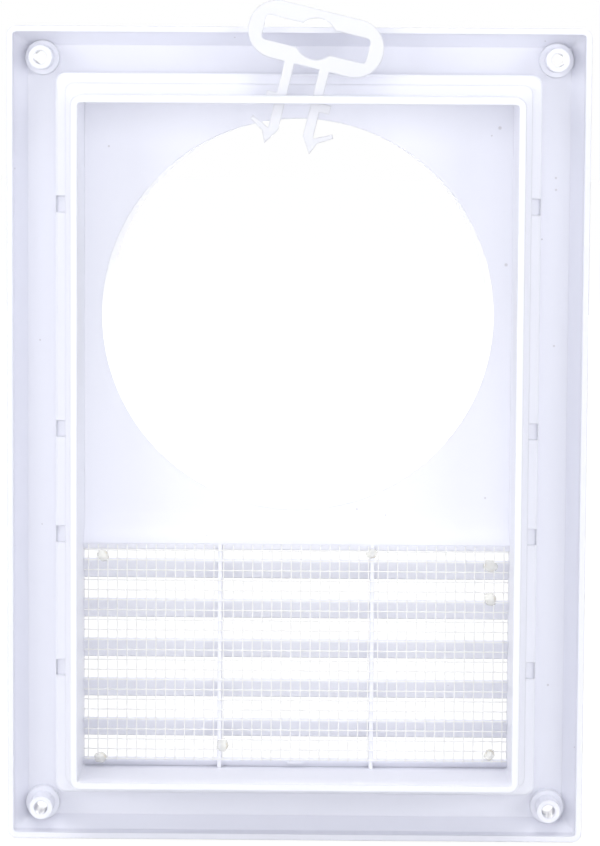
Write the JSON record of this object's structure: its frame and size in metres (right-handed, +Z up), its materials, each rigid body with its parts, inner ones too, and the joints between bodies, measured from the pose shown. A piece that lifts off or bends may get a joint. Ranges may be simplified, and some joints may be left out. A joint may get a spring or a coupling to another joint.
{
  "type": "ventilation grille",
  "caption": "White moulded wall ventilation grille with a round duct spigot above a louvre, a rectangular collar behind, insect mesh and a clip-on hang tag.",
  "frame": {"origin": "middle of the four screws, on the plane where the frame's rear edge meets the wall", "axes": "+X across the grille as seen from the wall side, +Z up, +Y out of the wall into the room"},
  "size_m": [0.18, 0.074, 0.2616],
  "materials": {
    "white_plastic": "smooth moulded white with a soft sheen",
    "mesh_plastic": "woven white strands",
    "glue": "yellowed drops",
    "tag_plastic": "slightly translucent white"
  },
  "bodies": {
    "grille": {"grille_body": "white_plastic", "insect_mesh": "mesh_plastic", "glue_spots": "glue"},
    "tag": {"hang_tag": "tag_plastic"}
  },
  "joints": [
    {"name": "tag_swing", "type": "hinge", "parent": "grille", "child": "tag", "pos_m": [0, -0.008, 0.10455], "axis": [0, 1, 0], "range_deg": [-38, 11]}
  ]
}
